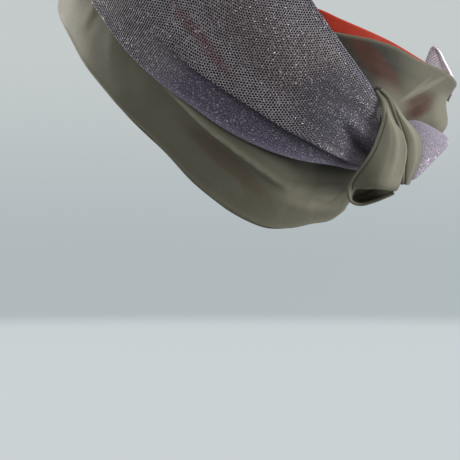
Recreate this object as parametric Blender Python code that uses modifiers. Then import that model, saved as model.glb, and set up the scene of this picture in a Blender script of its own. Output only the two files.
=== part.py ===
"""A knotted turban headband of satin and lurex net, as worn low on the brow and tied behind the left ear.

Metres, +Z up. The wearer faces -Y, and +X is the wearer's left. The origin is the middle of the head
that fills the turban. The head itself isn't built: head_radius() gives the form that the cloth lies on.
Sizes in the tables are millimetres and degrees. A turn is 0 at the brow, 90 at the left ear and 180 at
the back of the head. A rise is the angle above the level through CENTRE.
"""

import math
from collections import namedtuple

import bmesh
import bpy
import numpy as np

MM = 0.001

# The head form: a dome above the origin, and level sections below it.
CENTRE = np.array([0.0, 0.0, -20.0])
DOME_HEIGHT = 90.0
DOME_POWER = 2.2
DOME_LEAN = 0.10
SECTION_POWER = 2.15
Section = namedtuple("Section", "height front back half_width")
SECTIONS = [
    Section(0, -96.0, 98.5, 75.5),
    Section(-25, -96.0, 98.0, 76.0),
    Section(-50, -94.0, 92.0, 75.0),
    Section(-75, -91.0, 77.0, 72.0),
    Section(-95, -88.0, 59.0, 68.0),
    Section(-110, -86.0, 48.0, 63.0),
    Section(-130, -84.0, 42.0, 58.0),
]

SATIN_WALL = 1.2
LUREX_WALL = 1.2
LINING_WALL = 1.0
TAIL_WALL = 1.8
SEAM_MERGE = 0.00001

# Points across each sheet, and steps along it between two rows of its table.
BAND_ACROSS, BAND_STEPS = 9, 3
LUREX_ABOVE, LUREX_STEPS = 9, 2
WING_ACROSS, WING_STEPS = 12, 2
LINING_ACROSS = 5
WRAP_ACROSS, FOLD_ACROSS, KNOT_STEPS = 9, 7, 2
TAIL_ACROSS, TAIL_STEPS = 8, 2
PLEAT_RUN = 0.035

# The satin band: its free lower edge, the edge tucked under the lurex, and the tuck along its middle.
BAND_LIFT = 1.4
BandRow = namedtuple("BandRow", "low_turn low_rise high_turn high_rise tuck_at tuck_lift")
BAND = [
    BandRow(0, 9.0, 0, 34.0, 0.62, 0.0),
    BandRow(17, 2.0, 25, 27.0, 0.62, 0.0),
    BandRow(30, -11.0, 42, 14.0, 0.60, 0.0),
    BandRow(42, -23.0, 55, 0.0, 0.60, 0.5),
    BandRow(55, -34.0, 67, -11.0, 0.58, 1.3),
    BandRow(68, -45.0, 78, -19.0, 0.50, 1.9),
    BandRow(82, -54.0, 90, -26.0, 0.46, 2.1),
    BandRow(97, -59.0, 103, -31.0, 0.41, 1.9),
    BandRow(112, -61.0, 116, -33.5, 0.32, 1.3),
    BandRow(128, -61.5, 130, -35.0, 0.27, 0.6),
    BandRow(145, -62.0, 146, -35.0, 0.25, 0.2),
    BandRow(162, -61.0, 163, -34.0, 0.25, 0.0),
    BandRow(180, -60.5, 180, -33.0, 0.25, 0.0),
]

# The lurex panel over the brow. Its pleat is a step in the cloth, and its puff is the fullness between.
LurexRow = namedtuple("LurexRow", "low_turn low_rise low_lift high_turn high_rise high_lift pleat_at pleat_step puff")
LUREX_BROW = LurexRow(0, 26.0, 4.2, 0, 75.0, 4.2, 0.12, 0.0, 1.5)
LUREX_SIDE = [
    LurexRow(15, 22.5, 4.2, 40, 71, 4.4, 0.12, 0, 1.5),
    LurexRow(27, 15, 4.2, 66, 62, 4.8, 0.14, 0.1, 1.5),
    LurexRow(38, 4.5, 4.2, 80, 51, 5.4, 0.17, 0.3, 1.6),
    LurexRow(48, -7.5, 4.3, 90, 38, 6, 0.19, 0.8, 1.8),
    LurexRow(59, -18, 4.7, 98, 25, 6.4, 0.207, 1.6, 2),
    LurexRow(70, -26, 5, 105, 14, 6.5, 0.228, 2.6, 2.4),
    LurexRow(82, -33.5, 5.1, 111.6, 4, 6.5, 0.252, 3.2, 2.6),
    LurexRow(95, -38.7, 5, 118.1, -5, 6.5, 0.253, 3.4, 2.8),
]
LUREX_KNOT_END = [
    LurexRow(109, -41.8, 4.8, 125, -13, 6.6, 0.246, 3, 3),
    LurexRow(124, -43.1, 4.6, 131.6, -19.5, 6.6, 0.2, 2.4, 3),
    LurexRow(136, -44.1, 5, 136.2, -25.5, 6.6, 0.15, 1.4, 2.6),
    LurexRow(146, -44, 5.4, 141, -31, 6.4, 0.12, 0.8, 1.6),
]
# On the right the panel goes round over the wing, and its corner stands up behind the head.
LUREX_CORNER_END = [
    LurexRow(251, -42.5, 4.6, 231, -9.5, 6.4, 0.13, 2.4, 2.4),
    LurexRow(236, -44.0, 4.8, 220, -12.0, 8.0, 0.09, 1.4, 2.4),
    LurexRow(222, -41.5, 6.6, 210, -12.4, 9.0, 0.08, 0.6, 2.6),
    LurexRow(209, -34.0, 8.8, 203.5, -8.0, 9.6, 0.08, 0.0, 2.8),
    LurexRow(198, -23.0, 10.4, 197.5, -0.5, 8.6, 0.08, 0.0, 3.0),
    LurexRow(190, -15.0, 13.0, 191, -6.0, 11.6, 0.08, 0.0, 1.0),
    LurexRow(184.5, -14.4, 14.6, 184, -12.4, 15.0, 0.08, 0.0, 0.0),
]

# The wing: the satin strand round the back, with its lining a little higher than its own edge.
WingRow = namedtuple("WingRow", "turn edge_rise lining_rise low_rise edge_lift dip_lift pleat_lift low_lift")
WING = [
    WingRow(104, -2.0, 5.0, -15.0, 2.8, 2.8, 2.8, 2.8),
    WingRow(113, -3.0, 4.2, -22.0, 3.4, 3.0, 3.0, 3.0),
    WingRow(122, -4.2, 0.6, -28.0, 4.0, 3.4, 3.2, 3.0),
    WingRow(131, -5.2, -2.6, -33.0, 4.2, 3.6, 3.4, 3.0),
    WingRow(140, -6.8, -5.4, -36.5, 4.2, 3.8, 3.8, 3.0),
    WingRow(149, -9.2, -8.2, -38.5, 4.6, 4.0, 4.6, 3.1),
    WingRow(158, -10.4, -10.2, -39.5, 6.0, 5.8, 8.4, 3.2),
    WingRow(167, -11.4, -11.6, -39.5, 10.0, 9.2, 13.8, 3.3),
    WingRow(176, -12.8, -12.8, -39.5, 13.5, 11.2, 17.0, 3.4),
    WingRow(186, -12.6, -12.8, -39.0, 12.0, 10.4, 14.2, 3.4),
    WingRow(197, -11.6, -12.4, -37.5, 8.6, 7.2, 8.6, 3.3),
    WingRow(208, -12.4, -14.0, -35.5, 6.0, 5.4, 5.4, 3.2),
]
WING_MARKS = [0.0, 0.20, 0.42, 1.0]
LINING_GAP = 1.9
LINING_SHARE = 0.30

# Three rails carry each strip of the knot: its hem, its middle and its far edge, in millimetres.
StripRow = namedtuple("StripRow", "hem_x hem_y hem_z middle_x middle_y middle_z far_x far_y far_z")
# The wrap comes down over the strands, and turns in below them as an open loop.
KNOT_WRAP = [
    StripRow(63.5, 61.3, -52.7, 63.5, 61.8, -52.2, 63.3, 62.3, -51.8),
    StripRow(63.4, 64.2, -57, 63.6, 65, -56.7, 62.6, 65.9, -56.3),
    StripRow(64.4, 65.3, -61.5, 65.2, 66.4, -61.4, 63.4, 67.5, -61.2),
    StripRow(65.2, 64.9, -67, 66.8, 67.8, -67, 63.6, 70.2, -67.2),
    StripRow(65.6, 63, -73, 67.6, 69, -73, 63.4, 74.4, -73),
    StripRow(65.4, 60.1, -80.5, 67.6, 68.4, -80.5, 63.2, 76.4, -79.5),
    StripRow(64.2, 56.2, -87, 67, 66.6, -87.3, 61, 76.2, -86),
    StripRow(62.8, 51.4, -93.3, 65.8, 63.4, -94.4, 57.4, 75, -92.6),
    StripRow(61.6, 48.8, -98, 64, 62, -99.4, 56, 72, -100.2),
    StripRow(60, 48.6, -102.5, 50, 56, -97.4, 38, 67, -97.2),
    StripRow(58.4, 50.2, -106, 43, 53.6, -103.6, 30, 64.6, -98.8),
    StripRow(56.6, 55, -107.4, 41, 57.6, -105.2, 27, 66.6, -99.4),
    StripRow(56, 61.2, -106, 41, 62.8, -104, 26, 69.6, -99),
    StripRow(56, 68, -102.8, 42, 68.8, -101.6, 27, 73, -98.4),
]
# The fold lies beside the wrap's crest and closes the knot towards the back.
KNOT_FOLD = [
    StripRow(62.8, 63.5, -51.8, 62.5, 63.8, -51.4, 62.3, 64, -51),
    StripRow(60.2, 67, -54.7, 60.6, 67.5, -54.3, 59.8, 68, -53.9),
    StripRow(59.4, 69, -58.4, 60.2, 70, -58.2, 58, 71.2, -57.8),
    StripRow(60, 70.8, -63.5, 60.8, 73.4, -63.8, 57, 75.8, -64.6),
    StripRow(61, 72.8, -69.5, 61, 77.4, -69.5, 52.8, 80.6, -69.5),
    StripRow(61.4, 74.6, -76, 60.2, 80.6, -75.5, 48.6, 84.8, -75),
    StripRow(60.2, 75, -83, 58.4, 81.4, -82, 46.6, 85.8, -82),
    StripRow(56.4, 75, -88.5, 55.4, 80.4, -88, 45.8, 84, -87.5),
    StripRow(51.8, 75.2, -93, 51.4, 79, -93, 45.4, 81.5, -92.5),
    StripRow(47.5, 75.6, -96.5, 48.5, 77.6, -97.2, 45, 79.5, -97),
]
# The free end of the lurex, from its root behind the fold to its blunt tip.
TailRow = namedtuple("TailRow", "top_x top_y top_z low_x low_y low_z bulge")
LUREX_TAIL = [
    TailRow(44, 79, -66, 43.5, 79, -93, 0.5),
    TailRow(43.5, 83, -66, 43.5, 82, -94, 0.8),
    TailRow(42, 88, -67.5, 42.5, 85, -92, 1.2),
    TailRow(40, 93, -70, 40.5, 90, -87, 1.2),
    TailRow(37.5, 98, -73, 38, 96, -81, 0.8),
    TailRow(36, 100, -75, 36, 99, -78, 0.2),
]


def smooth_value(at, marks, values):
    """A smooth curve through the values at the marks, which rise."""
    marks = np.asarray(marks, float)
    values = np.asarray(values, float)
    slopes = np.gradient(values, marks)
    at = np.clip(at, marks[0], marks[-1])
    i = np.clip(np.searchsorted(marks, at, side="right") - 1, 0, len(marks) - 2)
    width = marks[i + 1] - marks[i]
    t = (at - marks[i]) / width
    rise = values[i + 1] - values[i]
    start, end = slopes[i] * width, slopes[i + 1] * width
    return values[i] + t * start + t**2 * (3 * rise - 2 * start - end) + t**3 * (start + end - 2 * rise)


def spline(controls, at, closed=False):
    """A point at a row number on the Catmull-Rom curve through the control rows."""
    controls = np.asarray(controls, float)
    count = len(controls)
    i = int(math.floor(at))
    if not closed:
        i = min(i, count - 2)
    t = at - i

    def row(k):
        return controls[k % count] if closed else controls[min(max(k, 0), count - 1)]

    before, start, end, after = row(i - 1), row(i), row(i + 1), row(i + 2)
    pull_in, pull_out = (end - before) / 2, (after - start) / 2
    return (
        start
        + t * pull_in
        + t**2 * (3 * (end - start) - 2 * pull_in - pull_out)
        + t**3 * (2 * (start - end) + pull_in + pull_out)
    )


def direction(turn, rise):
    turn, rise = math.radians(turn), math.radians(rise)
    return [math.sin(turn) * math.cos(rise), -math.cos(turn) * math.cos(rise), math.sin(rise)]


def head_section(height):
    """Centre along Y, half depth and half width of the head form at these heights."""
    share = np.clip(height / DOME_HEIGHT, 0, 0.999)
    scale = (1 - share**DOME_POWER) ** (1 / DOME_POWER)
    heights = [s.height for s in reversed(SECTIONS)]
    front = smooth_value(height, heights, [s.front for s in reversed(SECTIONS)])
    back = smooth_value(height, heights, [s.back for s in reversed(SECTIONS)])
    width = smooth_value(height, heights, [s.half_width for s in reversed(SECTIONS)])
    middle = (front + back) / 2 + DOME_LEAN * np.maximum(height, 0)
    return middle, scale * (back - front) / 2, scale * width


def head_radius(rays):
    """Distance from CENTRE to the head form along each unit ray."""
    near, far = np.full(len(rays), 30.0), np.full(len(rays), 170.0)
    for _ in range(26):
        reach = (near + far) / 2
        points = CENTRE + rays * reach[:, None]
        middle, depth, width = head_section(points[:, 2])
        size = np.abs(points[:, 0] / width) ** SECTION_POWER
        size += np.abs((points[:, 1] - middle) / depth) ** SECTION_POWER
        inside = (size < 1) & (points[:, 2] < DOME_HEIGHT)
        near, far = np.where(inside, reach, near), np.where(inside, far, reach)
    return near


def head_sheet(low, high, profile, along, closed=False):
    """Rows of points on the head between two edges. profile(row) gives shares of the way across, and lifts."""
    grid = []
    for at in along:
        start, end = spline(low, at, closed), spline(high, at, closed)
        shares, lifts = profile(at)
        across = np.asarray(shares)[:, None]
        rays = start / np.linalg.norm(start) * (1 - across) + end / np.linalg.norm(end) * across
        rays /= np.linalg.norm(rays, axis=1)[:, None]
        reach = head_radius(rays) + lifts
        grid.append(CENTRE + rays * reach[:, None])
    return np.array(grid)


def material(name, colour, roughness, metallic=0.0):
    made = bpy.data.materials.new(name)
    made.use_nodes = True
    shader = made.node_tree.nodes["Principled BSDF"]
    shader.inputs["Base Color"].default_value = (*colour, 1)
    shader.inputs["Roughness"].default_value = roughness
    shader.inputs["Metallic"].default_value = metallic
    made.diffuse_color = (*colour, 1)
    return made


def cloth(name, points, wall, finish, collection, closed=False):
    """A grid laid over rows of points in millimetres, with the wall's thickness from Solidify."""
    rows, across = points.shape[:2]
    if closed:
        points = np.concatenate([points, points[:1]])
        rows += 1
    sheet = bmesh.new()
    bmesh.ops.create_grid(sheet, x_segments=rows - 1, y_segments=across - 1, size=0.5)
    for corner in sheet.verts:
        row = round((corner.co.x + 0.5) * (rows - 1))
        column = round((corner.co.y + 0.5) * (across - 1))
        corner.co = points[row, column] * MM
    if closed:
        bmesh.ops.remove_doubles(sheet, verts=sheet.verts, dist=SEAM_MERGE)
    mesh = bpy.data.meshes.new(name)
    sheet.to_mesh(mesh)
    sheet.free()
    mesh.materials.append(finish)
    mesh.shade_smooth()
    made = bpy.data.objects.new(name, mesh)
    collection.objects.link(made)
    thickness = made.modifiers.new("Wall", "SOLIDIFY")
    thickness.thickness = wall * MM
    thickness.offset = 0
    thickness.use_quality_normals = True
    return made


def mirrored(row):
    """The same row on the wearer's right side."""
    turns = {name: 360 - getattr(row, name) for name in row._fields if name.endswith("turn")}
    return row._replace(**turns)


def edge(rows, turn, rise):
    return [direction(getattr(row, turn), getattr(row, rise)) for row in rows]


def ease(share):
    share = np.clip(share, 0, 1)
    return share * share * (3 - 2 * share)


def satin_band(finish, collection):
    """The ring of satin round the brow, both sides and the nape."""
    rows = BAND + [mirrored(row) for row in BAND[-2:0:-1]]
    shape = [(row.tuck_at, row.tuck_lift) for row in rows]
    shares = np.linspace(0, 1, BAND_ACROSS)

    def profile(at):
        tuck_at, tuck_lift = spline(shape, at, True)
        climb = ease((shares - tuck_at + 0.12) / 0.12)
        settle = ease((shares - tuck_at) / 0.3)
        return shares, BAND_LIFT + tuck_lift * climb * (1 - 0.8 * settle)

    along = np.arange(0, len(rows), 1 / BAND_STEPS)
    low, high = edge(rows, "low_turn", "low_rise"), edge(rows, "high_turn", "high_rise")
    points = head_sheet(low, high, profile, along, True)
    return cloth("satin_band", points, SATIN_WALL, finish, collection, True)


def lurex_panel(finish, collection):
    """The wide lurex panel over the brow, from the knot on the left to its free corner at the back."""
    right = LUREX_CORNER_END[::-1] + [mirrored(row) for row in LUREX_SIDE[::-1]]
    rows = right + [LUREX_BROW] + LUREX_SIDE + LUREX_KNOT_END
    shape = [(r.low_lift, r.high_lift, r.pleat_at, r.pleat_step, r.puff) for r in rows]

    def profile(at):
        low_lift, high_lift, pleat_at, pleat_step, puff = spline(shape, at)
        below = np.array([0.0, 0.5, 0.95]) * pleat_at
        above = pleat_at + PLEAT_RUN + (1 - pleat_at - PLEAT_RUN) * np.linspace(0, 1, LUREX_ABOVE) ** 1.15
        shares = np.concatenate([below, above])
        step = ease((shares - pleat_at) / PLEAT_RUN) * (1 - 0.75 * ease((shares - pleat_at) / 0.7))
        full = np.sin(math.pi * shares**0.8) ** 0.8
        return shares, low_lift + (high_lift - low_lift) * shares + pleat_step * step + puff * full

    along = np.arange(0, len(rows) - 1 + 0.01, 1 / LUREX_STEPS)
    low, high = edge(rows, "low_turn", "low_rise"), edge(rows, "high_turn", "high_rise")
    return cloth("lurex_panel", head_sheet(low, high, profile, along), LUREX_WALL, finish, collection)


def wing_lift(at, shares):
    marks = spline([(r.edge_lift, r.dip_lift, r.pleat_lift, r.low_lift) for r in WING], at)
    return smooth_value(shares, WING_MARKS, marks)


def back_wing(finish, collection):
    """The satin strand round the back of the head, with a free upper edge and a pleat below it."""
    shares = np.linspace(0, 1, WING_ACROSS)
    along = np.arange(0, len(WING) - 1 + 0.01, 1 / WING_STEPS)
    low, high = edge(WING, "turn", "low_rise"), edge(WING, "turn", "edge_rise")
    points = head_sheet(high, low, lambda at: (shares, wing_lift(at, shares)), along)
    return cloth("back_wing", points, SATIN_WALL, finish, collection)


def wing_lining(finish, collection):
    """The lining inside the wing, which shows above the wing's edge behind the lurex."""
    shares = np.linspace(0, 1, LINING_ACROSS)
    along = np.arange(0, len(WING) - 1 + 0.01, 1 / WING_STEPS)
    low, high = edge(WING, "turn", "low_rise"), edge(WING, "turn", "edge_rise")
    middle = np.array(high) * (1 - LINING_SHARE) + np.array(low) * LINING_SHARE

    def profile(at):
        return shares, wing_lift(at, shares * LINING_SHARE) - LINING_GAP

    points = head_sheet(edge(WING, "turn", "lining_rise"), middle, profile, along)
    return cloth("wing_lining", points, LINING_WALL, finish, collection)


def strip(name, rows, across, finish, collection):
    """A strip of satin that follows three rails."""
    points = []
    for at in np.arange(0, len(rows) - 1 + 0.01, 1 / KNOT_STEPS):
        rails = spline(rows, at).reshape(3, 3)
        points.append([spline(rails, share) for share in np.linspace(0, 2, across)])
    return cloth(name, np.array(points), SATIN_WALL, finish, collection)


def lurex_tail(finish, collection):
    """A flat double end of lurex, a little fuller along its middle."""
    shares = np.linspace(0, 1, TAIL_ACROSS)[:, None]
    points = []
    for at in np.arange(0, len(LUREX_TAIL) - 1 + 0.01, 1 / TAIL_STEPS):
        row = spline(LUREX_TAIL, at)
        bulge = np.array([row[6], 0.0, 0.0]) * np.sin(math.pi * shares)
        points.append(row[:3] * (1 - shares) + row[3:6] * shares + bulge)
    return cloth("lurex_tail", np.array(points), TAIL_WALL, finish, collection)


def main():
    for old in list(bpy.data.objects):
        bpy.data.objects.remove(old)
    turban = bpy.data.collections.new("turban")
    bpy.context.scene.collection.children.link(turban)
    satin = material("satin", (0.21, 0.20, 0.155), 0.42)
    lurex = material("lurex", (0.27, 0.21, 0.34), 0.38, 0.35)
    lining = material("lining", (0.66, 0.045, 0.022), 0.5)
    satin_band(satin, turban)
    lurex_panel(lurex, turban)
    back_wing(satin, turban)
    wing_lining(lining, turban)
    strip("knot_wrap", KNOT_WRAP, WRAP_ACROSS, satin, turban)
    strip("knot_fold", KNOT_FOLD, FOLD_ACROSS, satin, turban)
    lurex_tail(lurex, turban)


main()
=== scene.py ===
"""Looks of a knotted turban: satin, glitter net and red lining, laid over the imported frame.

Tables give millimetres and degrees. A turn is 0 at the brow, 90 at the left ear and 180 at the back.
A rise is the angle above the level through CENTRE.
"""

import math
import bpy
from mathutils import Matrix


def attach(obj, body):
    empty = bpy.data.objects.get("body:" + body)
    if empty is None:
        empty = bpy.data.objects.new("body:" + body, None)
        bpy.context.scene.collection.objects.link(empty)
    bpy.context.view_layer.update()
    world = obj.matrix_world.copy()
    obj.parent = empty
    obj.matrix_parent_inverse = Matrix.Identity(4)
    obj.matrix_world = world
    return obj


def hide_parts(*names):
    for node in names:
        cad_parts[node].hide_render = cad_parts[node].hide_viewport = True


bl_info = {
    "name": "Knotted Turban",
    "version": (1, 0, 0),
    "blender": (4, 5, 0),
    "location": "View3D > Sidebar > Turban",
    "description": "Dresses a knotted turban in satin, glitter net and lining",
    "category": "Add Mesh",
}

from collections import namedtuple

import bmesh
import bpy
import numpy as np
from mathutils import Vector

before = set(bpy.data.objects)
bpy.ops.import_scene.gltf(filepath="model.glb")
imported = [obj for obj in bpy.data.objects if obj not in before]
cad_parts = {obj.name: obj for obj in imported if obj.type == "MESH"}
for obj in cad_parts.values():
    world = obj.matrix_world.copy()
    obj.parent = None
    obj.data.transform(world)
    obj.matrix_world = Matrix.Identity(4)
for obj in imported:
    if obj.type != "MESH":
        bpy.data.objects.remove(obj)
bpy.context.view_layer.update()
MM = 0.001

# The head form: a dome above the origin, and level sections below it.
# MEAN_REACH is its usual distance from CENTRE.
CENTRE = np.array([0.0, 0.0, -20.0])
DOME_HEIGHT = 90.0
DOME_POWER = 2.2
DOME_LEAN = 0.10
SECTION_POWER = 2.15
MEAN_REACH = 95.0
Section = namedtuple("Section", "height front back half_width")
SECTIONS = [
    Section(-130, -84, 42, 58),
    Section(-110, -86, 48, 63),
    Section(-95, -88, 59, 68),
    Section(-75, -91, 77, 72),
    Section(-50, -94, 92, 75),
    Section(-25, -96, 98, 76),
    Section(0, -96, 98.5, 75.5),
]

# The satin band: its free lower edge, the edge tucked under the net, and the tuck along its middle.
BAND_LIFT = 1.4
BandRow = namedtuple("BandRow", "low_turn low_rise high_turn high_rise tuck_at tuck_lift")
BAND = [
    BandRow(0, 9, 0, 34, 0.62, 0),
    BandRow(17, 2, 25, 27, 0.62, 0),
    BandRow(30, -11, 42, 14, 0.6, 0),
    BandRow(42, -23, 55, 0, 0.6, 0.5),
    BandRow(55, -34, 67, -11, 0.58, 1.3),
    BandRow(68, -45, 78, -19, 0.5, 1.9),
    BandRow(82, -54, 90, -26, 0.46, 2.1),
    BandRow(97, -59, 103, -31, 0.41, 1.9),
    BandRow(112, -61, 116, -33.5, 0.32, 1.3),
    BandRow(128, -61.5, 130, -35, 0.27, 0.6),
    BandRow(145, -62, 146, -35, 0.25, 0.2),
    BandRow(162, -61, 163, -34, 0.25, 0),
    BandRow(180, -60.5, 180, -33, 0.25, 0),
]

# The net panel over the brow, from the corner behind the head round to the knot.
NetRow = namedtuple(
    "NetRow", "low_turn low_rise low_lift high_turn high_rise high_lift pleat_at pleat_step puff"
)
NET_BROW = NetRow(0, 26, 4.2, 0, 75, 4.2, 0.12, 0, 1.5)
NET_SIDE = [
    NetRow(15, 22.5, 4.2, 40, 71, 4.4, 0.12, 0, 1.5),
    NetRow(27, 15, 4.2, 66, 62, 4.8, 0.14, 0.1, 1.5),
    NetRow(38, 4.5, 4.2, 80, 51, 5.4, 0.17, 0.3, 1.6),
    NetRow(48, -7.5, 4.3, 90, 38, 6, 0.19, 0.8, 1.8),
    NetRow(59, -18, 4.7, 98, 25, 6.4, 0.207, 1.6, 2),
    NetRow(70, -26, 5, 105, 14, 6.5, 0.228, 2.6, 2.4),
    NetRow(82, -33.5, 5.1, 111.6, 4, 6.5, 0.252, 3.2, 2.6),
    NetRow(95, -38.7, 5, 118.1, -5, 6.5, 0.253, 3.4, 2.8),
]
NET_KNOT_END = [
    NetRow(109, -41.8, 4.8, 125, -13, 6.6, 0.246, 3, 3),
    NetRow(124, -43.1, 4.6, 131.6, -19.5, 6.6, 0.2, 2.4, 3),
    NetRow(136, -44.1, 5, 136.2, -25.5, 6.6, 0.15, 1.4, 2.6),
    NetRow(146, -44, 5.4, 141, -31, 6.4, 0.12, 0.8, 1.6),
]
NET_CORNER = [
    NetRow(184.5, -14.4, 14.6, 184, -12.4, 15, 0.08, 0, 0),
    NetRow(190, -15, 13, 191, -6, 11.6, 0.08, 0, 1),
    NetRow(198, -23, 10.4, 197.5, -0.5, 8.6, 0.08, 0, 3),
    NetRow(209, -34, 8.8, 203.5, -8, 9.6, 0.08, 0, 2.8),
    NetRow(222, -41.5, 6.6, 210, -12.4, 9, 0.08, 0.6, 2.6),
    NetRow(236, -44, 4.8, 220, -12, 8, 0.09, 1.4, 2.4),
    NetRow(251, -42.5, 4.6, 231, -9.5, 6.4, 0.13, 2.4, 2.4),
]
# The pleat's section: shares in overlaps from the pleat, and lifts in pleat steps.
PLEAT_FOLD = [
    (-2.6, 0.0), (-0.6, 0.0), (0.8, 0.1), (1.1, 0.3), (0.2, 0.48),
    (-0.8, 0.62), (-1.0, 0.86), (-0.2, 1.0), (1.8, 1.04),
]
PLEAT_OVERLAP = 1.7
PLEAT_RUN = 0.035
# Columns of the net's grid below the pleat, and in it.
PLEAT_BELOW, PLEAT_COLUMNS = 18, 34
# Rows of the table over which the free corner is doubled, and over which that fades.
CORNER_ROWS, CORNER_FADE = 2.6, 1.6

# The wing: the satin strand round the back, with the lining a little higher than its edge.
WingRow = namedtuple("WingRow", "turn edge_rise lining_rise low_rise edge_lift dip_lift pleat_lift low_lift")
WING = [
    WingRow(104, -2, 5, -15, 2.8, 2.8, 2.8, 2.8),
    WingRow(113, -3, 4.2, -22, 3.4, 3, 3, 3),
    WingRow(122, -4.2, 0.6, -28, 4, 3.4, 3.2, 3),
    WingRow(131, -5.2, -2.6, -33, 4.2, 3.6, 3.4, 3),
    WingRow(140, -6.8, -5.4, -36.5, 4.2, 3.8, 3.8, 3),
    WingRow(149, -9.2, -8.2, -38.5, 4.6, 4, 4.6, 3.1),
    WingRow(158, -10.4, -10.2, -39.5, 6, 5.8, 8.4, 3.2),
    WingRow(167, -11.4, -11.6, -39.5, 10, 9.2, 13.8, 3.3),
    WingRow(176, -12.8, -12.8, -39.5, 13.5, 11.2, 17, 3.4),
    WingRow(186, -12.6, -12.8, -39, 12, 10.4, 14.2, 3.4),
    WingRow(197, -11.6, -12.4, -37.5, 8.6, 7.2, 8.6, 3.3),
    WingRow(208, -12.4, -14, -35.5, 6, 5.4, 5.4, 3.2),
]
WING_MARKS = [0.0, 0.20, 0.42, 1.0]
LINING_GAP = 1.9
LINING_SHARE = 0.30
LINING_HALF = 0.4

# Three rails carry each strip of the knot: its hem, its middle and its far edge.
StripRow = namedtuple("StripRow", "hem_x hem_y hem_z middle_x middle_y middle_z far_x far_y far_z")
KNOT_WRAP = [
    StripRow(63.5, 61.3, -52.7, 63.5, 61.8, -52.2, 63.3, 62.3, -51.8),
    StripRow(63.4, 64.2, -57, 63.6, 65, -56.7, 62.6, 65.9, -56.3),
    StripRow(64.4, 65.3, -61.5, 65.2, 66.4, -61.4, 63.4, 67.5, -61.2),
    StripRow(65.2, 64.9, -67, 66.8, 67.8, -67, 63.6, 70.2, -67.2),
    StripRow(65.6, 63, -73, 67.6, 69, -73, 63.4, 74.4, -73),
    StripRow(65.4, 60.1, -80.5, 67.6, 68.4, -80.5, 63.2, 76.4, -79.5),
    StripRow(64.2, 56.2, -87, 67, 66.6, -87.3, 61, 76.2, -86),
    StripRow(62.8, 51.4, -93.3, 65.8, 63.4, -94.4, 57.4, 75, -92.6),
    StripRow(61.6, 48.8, -98, 64, 62, -99.4, 56, 72, -100.2),
    StripRow(60, 48.6, -102.5, 50, 56, -97.4, 38, 67, -97.2),
    StripRow(58.4, 50.2, -106, 43, 53.6, -103.6, 30, 64.6, -98.8),
    StripRow(56.6, 55, -107.4, 41, 57.6, -105.2, 27, 66.6, -99.4),
    StripRow(56, 61.2, -106, 41, 62.8, -104, 26, 69.6, -99),
    StripRow(56, 67.4, -103.4, 42, 68.6, -101.9, 27, 73, -98.4),
    StripRow(56.6, 71.2, -101.6, 43, 72, -100.6, 28, 75, -97.4),
]
KNOT_FOLD = [
    StripRow(62.8, 63.5, -51.8, 62.5, 63.8, -51.4, 62.3, 64, -51),
    StripRow(60.2, 67, -54.7, 60.6, 67.5, -54.3, 59.8, 68, -53.9),
    StripRow(59.4, 69, -58.4, 60.2, 70, -58.2, 58, 71.2, -57.8),
    StripRow(60, 70.8, -63.5, 60.8, 73.4, -63.8, 57, 75.8, -64.6),
    StripRow(61, 72.8, -69.5, 61, 77.4, -69.5, 52.8, 80.6, -69.5),
    StripRow(61.4, 74.6, -76, 60.2, 80.6, -75.5, 48.6, 84.8, -75),
    StripRow(60.2, 75, -83, 58.4, 81.4, -82, 46.6, 85.8, -82),
    StripRow(56.4, 75, -88.5, 55.4, 80.4, -88, 45.8, 84, -87.5),
    StripRow(51.8, 75.2, -93, 51.4, 79, -93, 45.4, 81.5, -92.5),
    StripRow(47.5, 75.6, -96.5, 48.5, 77.6, -97.2, 45, 79.5, -97),
]
TailRow = namedtuple("TailRow", "top_x top_y top_z low_x low_y low_z bulge")
NET_TAIL = [
    TailRow(44, 79, -66, 43.5, 79, -93, 0.5),
    TailRow(43.5, 83, -66, 43.5, 82, -94, 0.8),
    TailRow(42, 88, -67.5, 42.5, 85, -92, 1.2),
    TailRow(40, 93, -70, 40.5, 90, -87, 1.2),
    TailRow(37.5, 98, -73, 38, 96, -81, 0.8),
    TailRow(36, 100, -75, 36, 99, -78, 0.2),
]
TAIL_HALF = 0.75

# A crease runs along a path of turns and rises. Its height is in millimetres, and its widths in degrees.
Crease = namedtuple("Crease", "height above below sharp path")
BAND_CREST = [(56.5, -15.5), (64.5, -23.9), (72.8, -31.4), (82.6, -38.1), (96.6, -45.6), (108, -51)]
BAND_CREASES = [
    Crease(2.2, 6.5, 1.1, 1.3, BAND_CREST),
    Crease(
        -1.2, 0.7, 6.5, 1.5,
        [(60, -22), (66, -27), (73, -33), (80, -38), (88, -43), (97, -47.6), (107, -52)],
    ),
    Crease(1.2, 3, 2.4, 1.6, [(107, -41), (112, -45), (119, -48.8), (129, -53.7), (136, -56)]),
    Crease(-1.6, 1.6, 1.4, 1.4, [(122, -55.5), (130, -57), (140, -57), (150, -57)]),
    Crease(1.1, 1.8, 1.2, 1.4, [(128, -59), (138, -59.5), (150, -59.5), (162, -59)]),
    Crease(0.9, 1.6, 1.6, 1.4, [(148, -48), (151, -53), (156, -58)]),
    Crease(0.45, 1, 1.3, 1.3, [(36, 10), (33.5, 5), (30, 0.5)]),
    Crease(-0.4, 1.4, 1.4, 1.6, [(38.5, 9), (36, 3.5), (31.5, -3)]),
    Crease(0.4, 2.6, 2.6, 2, [(46, 2), (42, -5), (41, -14)]),
    Crease(-0.35, 2.4, 2.4, 2, [(52, -4), (48, -11.5), (47, -20)]),
    Crease(0.35, 2.6, 2.6, 2, [(58, -12), (54, -19), (53, -27)]),
    Crease(0.6, 2, 2, 1.6, [(88, -48), (97, -53), (108, -57)]),
    Crease(0.5, 1.6, 1.6, 1.6, [(12, 11), (14, 17), (13, 24)]),
    Crease(-0.4, 1.8, 1.8, 1.8, [(4, 10), (5, 18), (3, 26)]),
]
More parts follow.
